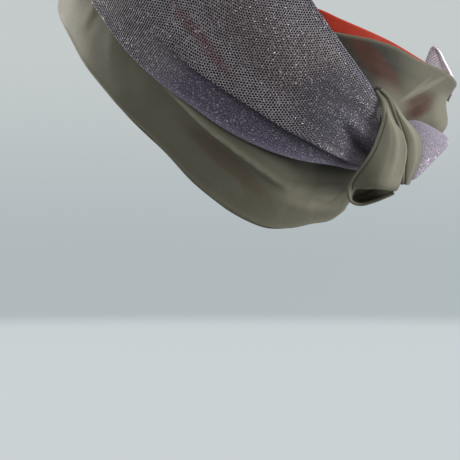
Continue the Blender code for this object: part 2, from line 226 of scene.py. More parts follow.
NET_CREASES = [
    Crease(-3.4, 1.5, 2, 1.6, [(121, -30), (126, -33.2), (131.5, -36), (137, -38.5), (143, -40)]),
    Crease(1.5, 1.8, 1.1, 1.5, [(118, -26), (125, -29.5), (132, -32.5), (140, -35)]),
    Crease(1, 1.4, 1.1, 1.5, [(112, -36), (120, -38.6), (128, -40.4), (137, -41.6)]),
    Crease(-0.9, 0.9, 1.3, 1.5, [(112, -33.5), (120, -36.2), (128, -38.4), (138, -40)]),
    Crease(-0.8, 1.2, 1.2, 1.6, [(116, -22), (124, -25.5), (131, -28.6), (139, -31)]),
    Crease(0.7, 1.2, 1.2, 1.6, [(112, -17.5), (122, -21), (130, -24.5), (137, -28)]),
    Crease(-0.5, 1.3, 1.3, 1.6, [(108, -29), (116, -32.5), (124, -35)]),
]
# A drape on a strip of the knot: height, its share across from the hem, width, drift and its rows.
Drape = namedtuple("Drape", "height share width drift first last")
WRAP_DRAPES = [
    Drape(0.22, 0.62, 0.14, 0.01, 1.8, 8.6),
    Drape(-0.22, 0.98, 0.14, 0.02, 2, 8.4),
    Drape(0.16, 1.26, 0.1, 0.01, 2.5, 8.2),
    Drape(-0.16, 1.5, 0.09, 0.01, 2.8, 8.4),
    Drape(0.3, 1.86, 0.09, 0.000, 1.6, 8.6),
    Drape(0.3, 0.5, 0.14, 0.11, 6.4, 9.2),
]
FOLD_DRAPES = [
    Drape(0.2, 0.8, 0.16, 0.04, 2, 8.4),
    Drape(-0.18, 1.1, 0.12, 0.04, 2.5, 8.6),
    Drape(0.18, 1.36, 0.12, 0.03, 3, 8.6),
    Drape(-0.15, 1.62, 0.1, 0.02, 3.5, 8.6),
]

# Rows and columns of each piece of cloth.
BAND_GRID = (384, 56)
NET_GRID = (384, 100)
WING_GRID = (150, 46)
LINING_GRID = (150, 22)
WRAP_GRID = (200, 46)
FOLD_GRID = (130, 40)
TAIL_GRID = (70, 40)


def smooth_value(at, marks, values):
    """A smooth curve through the values at the marks, which rise. Values may differ from row to row."""
    marks = np.asarray(marks, float)
    values = np.asarray(values, float)
    slopes = np.gradient(values, marks, axis=-1)
    at = np.clip(at, marks[0], marks[-1])
    i = np.clip(np.searchsorted(marks, at, side="right") - 1, 0, len(marks) - 2)
    width = marks[i + 1] - marks[i]
    t = (at - marks[i]) / width
    rise = values[..., i + 1] - values[..., i]
    start, end = slopes[..., i] * width, slopes[..., i + 1] * width
    return values[..., i] + t * start + t**2 * (3 * rise - 2 * start - end) + t**3 * (start + end - 2 * rise)


def through(controls, at, closed=False):
    """Rows at these row numbers on the Catmull-Rom curve through the control rows."""
    controls = np.asarray(controls, float)
    count = len(controls)
    i = np.floor(at).astype(int)
    if not closed:
        i = np.clip(i, 0, count - 2)
    t = (at - i).reshape(-1, *[1] * (controls.ndim - 1))

    def row(k):
        return controls[k % count] if closed else controls[np.clip(k, 0, count - 1)]

    before, start, end, after = row(i - 1), row(i), row(i + 1), row(i + 2)
    pull_in, pull_out = (end - before) / 2, (after - start) / 2
    square = 3 * (end - start) - 2 * pull_in - pull_out
    return start + t * pull_in + t**2 * square + t**3 * (2 * (start - end) + pull_in + pull_out)


def unit(vectors):
    return vectors / np.linalg.norm(vectors, axis=-1)[..., None]


def ease(share):
    share = np.clip(share, 0, 1)
    return share * share * (3 - 2 * share)


def bump_curve(distance, width):
    return np.exp(-((distance / width) ** 2))


def turn_of(rays):
    return np.degrees(np.arctan2(rays[..., 0], -rays[..., 1]))


def rise_of(rays):
    return np.degrees(np.arcsin(rays[..., 2]))


def head_radius(rays):
    """Distance from CENTRE to the head form along each unit ray."""
    heights = [s.height for s in SECTIONS]
    near, far = np.full(rays.shape[:-1], 30.0), np.full(rays.shape[:-1], 170.0)
    for _ in range(22):
        reach = (near + far) / 2
        points = CENTRE + rays * reach[..., None]
        height = points[..., 2]
        scale = (1 - np.clip(height / DOME_HEIGHT, 0, 0.999) ** DOME_POWER) ** (1 / DOME_POWER)
        front = smooth_value(height, heights, [s.front for s in SECTIONS])
        back = smooth_value(height, heights, [s.back for s in SECTIONS])
        width = smooth_value(height, heights, [s.half_width for s in SECTIONS])
        middle = (front + back) / 2 + DOME_LEAN * np.maximum(height, 0)
        size = np.abs(points[..., 0] / (scale * width)) ** SECTION_POWER
        size += np.abs((points[..., 1] - middle) / (scale * (back - front) / 2)) ** SECTION_POWER
        inside = (size < 1) & (height < DOME_HEIGHT)
        near, far = np.where(inside, reach, near), np.where(inside, far, reach)
    return near


def edge(rows, turn, rise):
    """Unit rays of one edge of a sheet."""
    turns = np.radians([getattr(row, turn) for row in rows])
    rises = np.radians([getattr(row, rise) for row in rows])
    return np.stack([np.sin(turns) * np.cos(rises), -np.cos(turns) * np.cos(rises), np.sin(rises)], axis=1)


def edges(rows):
    """Unit rays of a sheet's lower and upper edge."""
    return edge(rows, "low_turn", "low_rise"), edge(rows, "high_turn", "high_rise")


def mirrored(row):
    """The same row on the wearer's right side."""
    return row._replace(**{name: 360 - getattr(row, name) for name in row._fields if name.endswith("turn")})


def both_sides(creases):
    """The creases, and their likenesses on the right side."""
    right = [crease._replace(path=[(-turn, rise) for turn, rise in crease.path[::-1]]) for crease in creases]
    return creases + right


def sheet_rays(low, high, at, shares, closed=False):
    """Unit rays of a sheet between two edges, at these rows and shares of the way across."""
    start, end = unit(through(low, at, closed))[:, None], unit(through(high, at, closed))[:, None]
    return unit(start * (1 - shares[..., None]) + end * shares[..., None])


def crease_lift(rays, creases):
    """How far the creases lift the cloth, in millimetres."""
    turn, rise = turn_of(rays), rise_of(rays)
    total = np.zeros(turn.shape)
    for crease in creases:
        line = through(crease.path, np.linspace(0, len(crease.path) - 1, 70))
        narrow = math.cos(math.radians(line[:, 1].mean()))
        tangent = np.gradient(line * [narrow, 1], axis=0)
        reach = 4 * max(crease.above, crease.below)
        centre = line.mean(axis=0)
        span = np.abs(line - centre).max(axis=0) + [reach / narrow, reach]
        off_turn = (turn - centre[0] + 180) % 360 - 180
        near = (np.abs(off_turn) < span[0]) & (np.abs(rise - centre[1]) < span[1])
        if not near.any():
            continue
        across = (off_turn[near][:, None] - (line[:, 0] - centre[0])) * narrow
        up = rise[near][:, None] - line[:, 1]
        nearest = np.argmin(across**2 + up**2, axis=1)
        pick = np.arange(len(nearest))
        across, up = across[pick, nearest], up[pick, nearest]
        side = tangent[nearest, 0] * up - tangent[nearest, 1] * across
        width = np.where(side > 0, crease.above, crease.below)
        taper = np.sin(math.pi * nearest / (len(line) - 1)) ** 0.7
        total[near] += crease.height * taper * np.exp(-((np.hypot(across, up) / width) ** crease.sharp))
    return total


def waver(points, length, height, seed):
    """A gentle unevenness of hand-laid cloth, as a few crossing waves."""
    random = np.random.default_rng(seed)
    total = np.zeros(points.shape[:-1])
    for _ in range(7):
        heading = unit(random.normal(size=3)) * 2 * math.pi / (length * random.uniform(0.6, 1.6))
        total += np.sin(points @ heading + random.uniform(0, 6.28))
    return total * height / 7


def laid(rays, lifts, length, height, seed, share=1.0):
    """Points of a sheet on the head form, lifted in millimetres, with this share of a gentle unevenness."""
    points = CENTRE + rays * (head_radius(rays) + lifts)[..., None]
    return points + rays * (waver(points, length, height, seed) * share)[..., None]


def grid_normals(grid, closed, facing):
    """Unit normals of a grid of points, turned to the side that faces the given way at its middle."""
    if closed:
        down = np.roll(grid, -1, axis=0) - np.roll(grid, 1, axis=0)
    else:
        down = np.gradient(grid, axis=0)
    normals = unit(np.cross(down, np.gradient(grid, axis=1)))
    row, column = grid.shape[0] // 3, grid.shape[1] // 2
    way = grid[row, column] - CENTRE if facing is None else np.array(facing)
    return normals * np.sign(normals[row, column] @ way)


def arc(grid, axis):
    """Distance travelled along one axis of a grid of points."""
    steps = np.linalg.norm(np.diff(grid, axis=axis), axis=-1)
    start = np.zeros_like(np.take(steps, [0], axis=axis))
    return np.concatenate([start, np.cumsum(steps, axis=axis)], axis=axis)


def hem_half(grid, half, roll, groove, low=True, high=True):
    """Half the cloth's thickness, with a rolled hem and the groove beside it along the chosen edges."""
    run = arc(grid, 1)
    thick = np.full(run.shape, half)
    for there, gap in ((low, run), (high, run[:, -1:] - run)):
        if there:
            thick += roll * bump_curve(gap - 0.6, 0.7) - groove * bump_curve(gap - 1.75, 0.36)
    return thick


def new_object(name, data):
    """A new object in the scene, at the origin."""
    made = bpy.data.objects.new(name, data)
    bpy.context.scene.collection.objects.link(made)
    return made


def cloth(name, grid, half, finishes, closed=False, facing=None, fields=None, one_sided_from=0):
    """A closed piece of cloth round a grid of middle points in millimetres, with rounded edges.

    Its UV map holds metres along and across the cloth. fields are named values for the finishes.
    The second finish, if there is one, is for the inner side, from the row one_sided_from on.
    """
    rows, columns = grid.shape[:2]
    normals = grid_normals(grid, closed, facing)
    rims = []
    for column, beside in ((columns - 1, columns - 2), (0, 1)):
        out = grid[:, column] - grid[:, beside]
        out = unit(out - normals[:, column] * np.sum(out * normals[:, column], axis=1)[:, None])
        turns = np.radians([45, 90, 135] if column else [135, 90, 45])
        for turn in turns:
            lean = normals[:, column] * math.cos(turn) + out * math.sin(turn)
            rims.append(grid[:, column] + lean * half[:, column, None])
    outer = grid + normals * half[..., None]
    inner = (grid - normals * half[..., None])[:, ::-1]
    high, low = np.stack(rims[:3], axis=1), np.stack(rims[3:], axis=1)
    loops = np.concatenate([outer, high, inner, low], axis=1)
    around = loops.shape[1]
    columns_there = list(range(columns))
    of = np.array(columns_there + [columns - 1] * 3 + columns_there[::-1] + [0] * 3)

    along = arc(np.concatenate([grid, grid[:1]]) if closed else grid, 0).mean(axis=1)
    across = arc(grid, 1)
    count = rows if closed else rows - 1
    row, ring = np.meshgrid(np.arange(count), np.arange(around), indexing="ij")
    row, ring = row.ravel(), ring.ravel()
    below, beside = (row + 1) % rows, (ring + 1) % around
    here, under_it = row * around, below * around
    quads = np.stack([here + ring, here + beside, under_it + beside, under_it + ring], axis=1)
    spots = np.stack([
        np.stack([along[row], across[row, of[ring]]], axis=1),
        np.stack([along[row], across[row, of[beside]]], axis=1),
        np.stack([along[row + 1], across[below, of[beside]]], axis=1),
        np.stack([along[row + 1], across[below, of[ring]]], axis=1),
    ], axis=1)
    inside = (ring >= columns + 1) & (ring < 2 * columns + 3)
    faces, marks = quads.tolist(), spots.reshape(-1, 2).tolist()
    if not closed:
        ends, places = [], []
        for end in (0, rows - 1):
            first = end * around
            for k in range(columns - 1):
                under = 2 * columns + 2 - k
                ends.append([first + k, first + k + 1, first + under - 1, first + under])
                places.append([(along[end], across[end, j]) for j in (k, k + 1, k + 1, k)])
            for start, lip in ((columns - 1, columns), (2 * columns + 2, 2 * columns + 3)):
                turn_in = columns + 3 if start == columns - 1 else 0
                for three in ([start, lip, lip + 1], [lip + 1, lip + 2, turn_in], [start, lip + 1, turn_in]):
                    ends.append([first + k for k in three])
                    places.append([(along[end], across[end, of[k]]) for k in three])
        faces += ends
        marks += [place for group in places for place in group]
        inside = np.concatenate([inside, np.zeros(len(ends), bool)])

    mesh = bpy.data.meshes.new(name)
    mesh.from_pydata((loops.reshape(-1, 3) * MM).tolist(), [], faces)
    mesh.uv_layers.new(name="cloth").data.foreach_set("uv", (np.array(marks) * MM).ravel())
    for key, values in (fields or {}).items():
        kept = mesh.attributes.new(key, "FLOAT", "POINT")
        kept.data.foreach_set("value", values[:, of].ravel().astype(np.float32))
    side = mesh.attributes.new("outer", "FLOAT", "POINT")
    side.data.foreach_set("value", np.tile(np.arange(around) < columns, rows).astype(np.float32))
    for finish in finishes:
        mesh.materials.append(finish)
    if len(finishes) > 1:
        row_of = np.concatenate([row, np.full(len(inside) - len(row), rows)])
        second = inside & (row_of >= one_sided_from)
        mesh.polygons.foreach_set("material_index", second.astype(np.int32))
    mesh.shade_smooth()
    turned = bmesh.new()
    turned.from_mesh(mesh)
    bmesh.ops.recalc_face_normals(turned, faces=turned.faces)
    turned.to_mesh(mesh)
    turned.free()
    made = new_object(name, mesh)
    wide, long = across[:, -1], along[-1]
    print(f"{name}: {long:.0f} mm along, {wide.mean():.0f} mm across on average, {wide.max():.0f} at most")
    return made


class Finish:
    """Makes a material's nodes, and joins them as they are made."""

    def __init__(self, name):
        self.material = bpy.data.materials.new(name)
        self.material.use_nodes = True
        self.tree = self.material.node_tree
        self.shader = self.tree.nodes["Principled BSDF"]
        self.place = self.add("ShaderNodeTexCoord", {}, "Object")
        self.cloth = self.add("ShaderNodeUVMap", {}, uv_map="cloth")

    def join(self, socket, value):
        if isinstance(value, bpy.types.NodeSocket):
            self.tree.links.new(value, socket)
        else:
            socket.default_value = value

    def add(self, kind, sockets, output=0, **settings):
        made = self.tree.nodes.new(kind)
        for name, value in settings.items():
            setattr(made, name, value)
        for name, value in sockets.items():
            self.join(made.inputs[name], value)
        return made.outputs[output]

    def field(self, name):
        return self.add("ShaderNodeAttribute", {}, "Fac", attribute_name=name)

    def sum(self, kind, a, b=0.0):
        return self.add("ShaderNodeMath", {0: a, 1: b}, operation=kind)

    def times(self, a, b):
        return self.sum("MULTIPLY", a, b)

    def span(self, value, low, high, to_low=0.0, to_high=1.0):
        sockets = {"Value": value, "From Min": low, "From Max": high, "To Min": to_low, "To Max": to_high}
        return self.add("ShaderNodeMapRange", sockets, interpolation_type="SMOOTHSTEP")

    def blend(self, share, under, over):
        return self.add("ShaderNodeMix", {0: share, 6: under, 7: over}, 2, data_type="RGBA")

    def stretch(self, vector, scale):
        return self.add("ShaderNodeMapping", {"Vector": vector, "Scale": scale})

    def noise(self, vector, scale, detail=2.0):
        return self.add("ShaderNodeTexNoise", {"Vector": vector, "Scale": scale, "Detail": detail})

    def patch(self, centre, size, tilt):
        """A soft oval patch on the object, full at its centre."""
        sockets = {
            "Vector": self.place,
            "Location": [c * MM for c in centre],
            "Rotation": (math.radians(tilt), 0, 0),
            "Scale": [s * MM for s in size],
        }
        near = self.add("ShaderNodeMapping", sockets, vector_type="TEXTURE")
        return self.span(self.add("ShaderNodeVectorMath", {0: near}, "Value", operation="LENGTH"), 1.0, 0.4)

    def bump(self, height, distance, under=None):
        sockets = {"Height": height, "Distance": distance, "Strength": 1.0}
        if under is not None:
            sockets["Normal"] = under
        return self.add("ShaderNodeBump", sockets)

    def done(self, **sockets):
        for name, value in sockets.items():
            self.join(self.shader.inputs[name.replace("_", " ")], value)
        return self.material


def toned(colour, gain):
    """The colour made lighter or darker."""
    return [min(1.0, c * gain) for c in colour[:3]] + [1.0]


def satin_finish(name, colour, shade, patches, weave):
    """Closely woven satin: drifting shade, faint threads, soft patches of their own colours and of painted
    light and shade, and painted highlights and shade from the rim, crest and groove fields.
    """
    finish = Finish(name)
    drift = finish.noise(finish.place, 22.0, 3.0)
    cloudy = finish.span(drift, 0.3, 0.72)
    threads = finish.noise(finish.stretch(finish.cloth, (260.0, 2600.0, 1.0)), 1.0, 2.0)
    tone = finish.blend(finish.times(cloudy, 0.55), colour, shade)
    tone = finish.blend(finish.span(threads, 0.35, 0.75, 0.0, 0.16), tone, shade)
    outer = finish.field("outer")
    for centre, size, tilt, depth, tint in patches:
        spot = finish.times(finish.patch(centre, size, tilt), depth)
        tone = finish.blend(finish.times(spot, outer), tone, tint)
    # Painted marks: rim is a painted highlight along hems, crest a painted highlight along a tuck, groove
    # painted shade under the net's edge and beside a rolled hem.
    marks = (
        ("rim", 0.4, toned(colour, 1.6)),
        ("crest", 0.9, toned(colour, 2.1)),
        ("groove", 0.8, toned(shade, 0.18)),
    )
    for field, depth, tint in marks:
        mark = finish.times(finish.times(finish.field(field), depth), outer)
        tone = finish.blend(mark, tone, tint)
    turns = 2 * math.pi / weave
    grid = finish.stretch(finish.cloth, (turns, turns, 1.0))
    warp = finish.add("ShaderNodeSeparateXYZ", {"Vector": grid}, "X")
    weft = finish.add("ShaderNodeSeparateXYZ", {"Vector": grid}, "Y")
    cross = finish.times(finish.sum("SINE", warp), finish.sum("SINE", weft))
    fine = finish.bump(finish.sum("ADD", finish.times(cross, 0.3), threads), 0.00006)
    soft = finish.noise(finish.place, 90.0, 2.0)
    normal = finish.bump(soft, 0.0005, fine)
    rough = finish.span(drift, 0.3, 0.7, 0.36, 0.48)
    return finish.done(
        Base_Color=tone, Roughness=rough, Normal=normal, Sheen_Weight=0.03, Sheen_Roughness=0.4,
        Anisotropic=0.4, Specular_IOR_Level=0.2,
    )


def net_finish(thread, hem, violet_and_shade, hole_shade, warm, pale, patches, pitch):
    """Glitter net: a lattice of holes, dark with painted shade, between lilac metal threads, closed where the
    cloth is doubled; it paints shade in valleys and by the knot, and light on the free corner.
    """
    finish = Finish("glitter_net")
    wave = 2 * math.pi / (pitch * math.cos(math.radians(30)))
    ripples = []
    for heading in (0, 60, 120):
        lean = (wave * math.cos(math.radians(heading)), wave * math.sin(math.radians(heading)), 0.0)
        run = finish.add("ShaderNodeVectorMath", {0: finish.cloth, 1: lean}, "Value", operation="DOT_PRODUCT")
        ripples.append(finish.sum("COSINE", run))
    lattice = finish.sum("ADD", finish.sum("ADD", ripples[0], ripples[1]), ripples[2])
    ribs = finish.times(ripples[0], 1.6)
    either = {0: finish.field("ribbed"), 2: lattice, 3: ribs}
    total = finish.add("ShaderNodeMix", either, 0, data_type="FLOAT")
    net = finish.field("net")
    open_hole = finish.times(finish.span(total, -1.1, -0.1), net)
    drift = finish.noise(finish.place, 30.0, 3.0)
    streaks = finish.noise(finish.stretch(finish.cloth, (14.0, 55.0, 1.0)), 1.0, 3.0)
    grain = finish.noise(finish.cloth, 1500.0, 2.0)
    tone = finish.blend(finish.field("violet_and_shade"), thread, violet_and_shade)
    tone = finish.blend(finish.times(finish.span(streaks, 0.46, 0.82, 0.0, 0.65), net), tone, warm)
    # The holes show painted shade, tinted by the patches.
    through = hole_shade
    for centre, size, tilt, depth, tint in patches:
        spot = finish.times(finish.patch(centre, size, tilt), depth)
        tone = finish.blend(spot, tone, tint)
        through = finish.blend(spot, through, toned(tint, 0.35))
    # One dark paints both the grain's dark specks and the painted shade.
    speck_and_shade_dark = toned(violet_and_shade, 0.12)
    tone = finish.blend(finish.span(grain, 0.50, 0.36, 0.0, 0.8), tone, speck_and_shade_dark)
    tone = finish.blend(finish.span(grain, 0.56, 0.70, 0.0, 0.55), tone, thread)
    tone = finish.blend(finish.field("painted_shade"), tone, speck_and_shade_dark)
    tone = finish.blend(finish.times(finish.field("rim"), 0.75), tone, hem)
    # Painted light on the free corner.
    tone = finish.blend(finish.field("pale"), tone, pale)
    cells = finish.add("ShaderNodeTexVoronoi", {"Vector": finish.cloth, "Scale": 2100.0}, "Color")
    glint = finish.span(cells, 0.80, 0.86)
    tone = finish.blend(open_hole, tone, through)
    # The glints fade where shade is painted.
    shallow = finish.span(finish.field("painted_shade"), 0.8, 0.0, 0.1)
    shine = finish.times(finish.span(drift, 0.3, 0.7, 0.35, 0.8), shallow)
    tone = finish.blend(finish.times(glint, shine), tone, (0.9, 0.86, 0.9, 1.0))
    height = finish.sum("SUBTRACT", grain, finish.times(open_hole, 1.5))
    normal = finish.bump(height, 0.00025)
    return finish.done(
        Base_Color=tone, Roughness=finish.span(glint, 0.0, 1.0, 0.62, 0.3), Normal=normal,
        Metallic=finish.span(glint, 0.0, 1.0, 0.0, 0.5), Sheen_Weight=0.1, Sheen_Roughness=0.4,
        Sheen_Tint=(0.92, 0.84, 0.95, 1.0),
    )


def flake_finish(colour):
    """Loose glitter: small polished flakes that differ a little in colour."""
    finish = Finish("flakes")
    drift = finish.noise(finish.place, 700.0, 1.0)
    tone = finish.blend(finish.span(drift, 0.35, 0.65), colour, (0.95, 0.92, 0.98, 1.0))
    return finish.done(Base_Color=tone, Metallic=0.9, Roughness=finish.span(drift, 0.3, 0.7, 0.12, 0.28))


def stage_finish(floor, wall_low, wall_high):
    """A pale studio sweep that glows a little by itself, darker low on its wall than at its top."""
    finish = Finish("sweep")
    height = finish.add("ShaderNodeSeparateXYZ", {"Vector": finish.place}, "Z")
    cloud = finish.noise(finish.place, 1.2, 1.0)
    tone = finish.blend(finish.span(height, STAGE_FLOOR + 0.08, STAGE_FLOOR + 0.40), wall_low, wall_high)
    tone = finish.blend(finish.span(height, STAGE_FLOOR + 0.022, STAGE_FLOOR + 0.002), tone, floor)
    tone = finish.blend(finish.span(cloud, 0.3, 0.7, 0.0, 0.06), tone, (0.66, 0.70, 0.71, 1.0))
    return finish.done(
        Base_Color=(0.02, 0.02, 0.02, 1.0), Roughness=1.0, Specular_IOR_Level=0.0,
        Emission_Color=tone, Emission_Strength=1.0,
    )


def dress(piece, nodes):
    """Gives a finished sheet its body, and hides the imported nodes it replaces."""
    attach(piece, "root")
    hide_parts(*nodes)


def finish_named(name):
    return bpy.data.materials[name]


def size_setting(name, description, default, **limits):
    return bpy.props.FloatProperty(name=name, description=description, default=default, **limits)


def colour_setting(name, description, default):
    return bpy.props.FloatVectorProperty(
        name=name, description=description, default=default, size=3, min=0.0, max=1.0, subtype="COLOR"
    )


class TurbanSizes(bpy.types.PropertyGroup):
    satin_half: size_setting(
        "Satin half thickness", "Half the satin's thickness, in millimetres", 0.45, min=0.2, max=0.8
    )
    net_half: size_setting(
        "Net half thickness", "Half the net's thickness, in millimetres", 0.32, min=0.2, max=0.6
    )
    hem_roll: size_setting(
        "Hem roll", "How much a rolled hem adds to each side, in millimetres", 0.42, min=0.0, max=0.8
    )
    net_pitch: size_setting(
        "Net pitch", "Distance between neighbouring holes", 0.0014, min=0.0005, unit="LENGTH"
    )
    weave_pitch: size_setting(
        "Weave pitch", "Distance between threads of the satin", 0.0004, min=0.0001, unit="LENGTH"
    )
    flake_size: size_setting("Flake size", "Radius of a glitter flake", 0.00012, min=0.0001, unit="LENGTH")
    flake_density: size_setting("Flake density", "Glitter flakes on a square metre of net", 280000.0, min=0.0)


class TurbanColours(bpy.types.PropertyGroup):
    satin: colour_setting("Satin", "Khaki of the satin where it is lightest", (0.235, 0.222, 0.165))
    # The darkest khaki of the satin's random drift, also used as painted shade over the band's middle and,
    # darker still, in the groove marks.
    satin_shade: colour_setting("Satin shade", "Khaki of the satin where it is darkest", (0.15, 0.145, 0.105))
    # Painted shadow: dark khaki where the net's rear edge shades the wing.
    satin_painted_shadow: colour_setting("Satin in shadow", "Khaki of the satin under the net", (0.028, 0.026, 0.02))
    # Painted light: lighter khaki for patches where light falls on the knot, the nape, the wing's folds and
    # its lobe.
    satin_painted_light: colour_setting("Satin in light", "Khaki of the satin over the knot", (0.40, 0.38, 0.29))
    show_through: colour_setting("Show-through", "Satin over the lining", (0.110, 0.042, 0.026))
    lining: colour_setting("Lining", "Red of the lining", (0.76, 0.066, 0.032))
    lining_shade: colour_setting("Lining shade", "Red of the lining in its folds", (0.30, 0.03, 0.02))
    thread: colour_setting("Net thread", "Lilac grey of the net's threads", (0.76, 0.68, 0.74))
    hem: colour_setting("Net hem", "Pink lilac of the net's doubled edges", (0.48, 0.425, 0.585))
    # Dark violet of the doubled strip below the pleat, partly painted shade, and the painted shade of the
    # gathered net by the knot.
    violet_and_shade: colour_setting("Net double", "Violet of the net where it is doubled", (0.165, 0.138, 0.225))
    violet_shade: colour_setting("Net in shade", "Violet of the net by the knot", (0.095, 0.088, 0.14))
    # Painted shade seen through the net's holes.
    hole_shade: colour_setting("Net hole", "Dark seen through the net", (0.007, 0.006, 0.007))
    warm: colour_setting("Net warmth", "Rust threads in the net", (0.20, 0.10, 0.085))
    # Painted light: the free corner made pale, as if lit through from behind.
    corner: colour_setting("Net corner", "Pale lilac of the net's free corner", (0.80, 0.74, 0.82))
    rose: colour_setting("Net rose", "Red threads that run through the net", (0.34, 0.07, 0.08))
    flake: colour_setting("Glitter", "Silver lilac of the flakes", (0.75, 0.66, 0.80))


def rgba(values):
    return [*values, 1.0]


class TURBAN_OT_finishes(bpy.types.Operator):
    """Make the satin, net, lining and glitter finishes"""

    bl_idname = "turban.finishes"
    bl_label = "Finishes"

    def execute(self, context):
        sizes, colours = context.scene.turban_sizes, context.scene.turban_colours
        # Tints of the satin patches: the lining's show-through, painted shadow, the dark khaki that also
        # paints shade, and painted light.
        warm, painted_shade, dun_and_shade = rgba(colours.show_through), rgba(colours.satin_painted_shadow), rgba(colours.satin_shade)
        light = rgba(colours.satin_painted_light)
        # Patches: centre and size in millimetres, tilt in degrees, depth and colour.
        patches = [
            # Painted shade over the middle of the band.
            ((74, 2, -82), (30, 62, 22), -38, 0.35, dun_and_shade),
            # Below the band's crest: the lining's show-through tint, and painted shade under the crest.
            ((73, -10, -87), (30, 40, 5.5), -41, 0.35, warm),
            # Painted light on the nape below the knot, in two patches.
            ((57, 34, -105), (24, 26, 8), -12, 0.7, light),
            ((56, 42, -102), (24, 14, 6), 5, 1, light),
            # Painted shadow on the wing under the net's rear edge.
            ((66, 55, -38), (40, 36, 26), -30, 0.8, painted_shade),
            ((64, 62, -39.5), (34, 27, 7), -45, 0.95, warm),
            ((46, 84.5, -58.5), (34, 17, 7.5), 34, 0.85, warm),
            # Painted highlights along two folds of the wing.
            ((42, 88, -49), (40, 24, 1.8), 29, 0.5, light),
            ((42, 83.5, -50), (40, 14, 1.3), 39, 0.4, light),
            # Painted light on the wing's lobe.
            ((14, 101, -60), (46, 11, 14), 0, 0.75, light),
            # Painted light on the knot's face.
            ((62, 71, -76), (40, 21, 34), 12, 1, light),
            ((-60, 62, -52), (30, 16, 12), -30, 0.5, warm),
        ]
        satin_finish("khaki_satin", rgba(colours.satin), dun_and_shade, patches, sizes.weave_pitch)
        satin_finish("red_lining", rgba(colours.lining), rgba(colours.lining_shade), [], sizes.weave_pitch)
        rust, rose = rgba(colours.warm), rgba(colours.rose)
        patches = [
            ((80, -22, -30), (40, 4, 32), 38, 0.5, rose),
            ((80, 6, -30), (40, 16, 40), 35, 0.4, rust),
            ((76, 34, -44), (40, 10, 28), 30, 0.4, rust),
            ((73, 40, -62), (40, 30, 28), 0, 0.8, rgba(colours.violet_shade)),
        ]
        net_finish(
            rgba(colours.thread), rgba(colours.hem), rgba(colours.violet_and_shade), rgba(colours.hole_shade), rust,
            rgba(colours.corner), patches, sizes.net_pitch,
        )
        flake_finish(rgba(colours.flake))
        return {"FINISHED"}


def net_edge_rise(rays):
    """The rise of the net panel's lower edge over each ray's turn, the same on both sides."""
    turn = np.abs(turn_of(rays))
    rows = [NET_BROW] + NET_SIDE + NET_KNOT_END
    return smooth_value(turn, [row.low_turn for row in rows], [row.low_rise for row in rows])


class TURBAN_OT_satin_band(bpy.types.Operator):
    """Lay the satin band round the brow, both sides and the nape"""

    bl_idname = "turban.satin_band"
    bl_label = "Satin band"

    def execute(self, context):
        sizes = context.scene.turban_sizes
        rows = BAND + [mirrored(row) for row in BAND[-2:0:-1]]
        at = np.arange(BAND_GRID[0]) * len(rows) / BAND_GRID[0]
        tucks = through([(row.tuck_at, row.tuck_lift) for row in rows], at, True)
        shares = np.tile(np.linspace(0, 1, BAND_GRID[1]), (len(at), 1))
        rays = sheet_rays(*edges(rows), at, shares, True)
        below_net = net_edge_rise(rays) - rise_of(rays)
        climb = ease((shares - tucks[:, :1] + 0.12) / 0.12) * (1 - 0.8 * ease((shares - tucks[:, :1]) / 0.3))
        lifts = 0.5 * tucks[:, 1:] * climb + crease_lift(rays, both_sides(BAND_CREASES))
        lifts = BAND_LIFT + lifts * ease((below_net + 0.6) / 2.4)
        points = laid(rays, np.maximum(lifts, 0.7), length=38.0, height=0.55, seed=3)
        half = hem_half(points, sizes.satin_half, 0.6 * sizes.hem_roll, 0.12)
        turn = turn_of(rays)
        shadow = 0.6 + 3.0 * ease((turn - 84) / 40)
        # rim paints a highlight along the band's lower hem; groove paints shade under the net's lower edge,
        # wider toward the knot; crest paints a highlight along the tuck.
        fields = {
            "rim": bump_curve(arc(points, 1), 1.1),
            "groove": 1.2 * bump_curve(below_net - 0.5 * shadow, shadow) * (np.abs(turn) < 150),
            "crest": crease_lift(rays, [Crease(1.0, 0.9, 0.5, 1.6, BAND_CREST)]),
        }
        piece = cloth("band_satin", points, half, [finish_named("khaki_satin")], closed=True, fields=fields)
        dress(piece, ["satin_band"])
        return {"FINISHED"}


